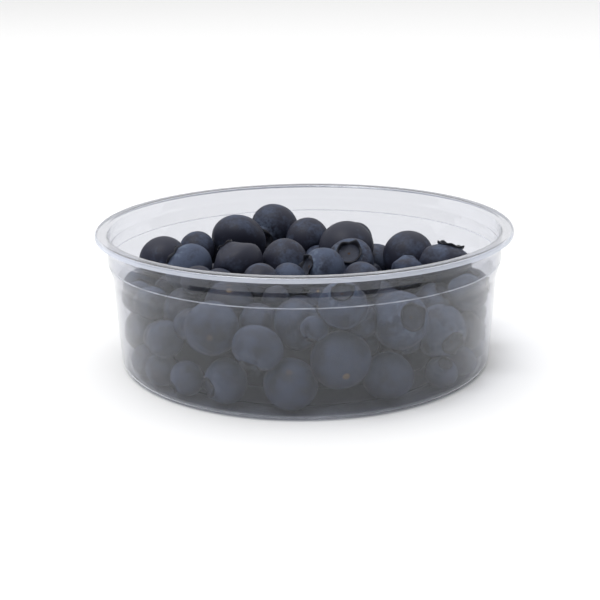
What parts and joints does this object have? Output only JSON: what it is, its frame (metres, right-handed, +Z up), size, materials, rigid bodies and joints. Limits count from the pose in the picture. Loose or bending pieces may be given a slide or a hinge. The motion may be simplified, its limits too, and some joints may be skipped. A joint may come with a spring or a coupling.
{
  "type": "deli container of blueberries",
  "caption": "Clear round plastic deli tub with a turned lip, open at the top, holding a heap of fresh blueberries.",
  "frame": {"origin": "middle of the ring that the tub stands on, at its underside", "axes": "+Z up, out of the open top; the heap is laid to be seen from -Y and gets lower towards +Y"},
  "size_m": [0.117, 0.117, 0.0386],
  "materials": {
    "clear_plastic": "clear glossy thin sheet",
    "berry_skin": "dark blue fruit skin with a dusty waxy bloom"
  },
  "bodies": {
    "root": {"tub": "clear_plastic", "blueberries": "berry_skin"}
  },
  "joints": []
}
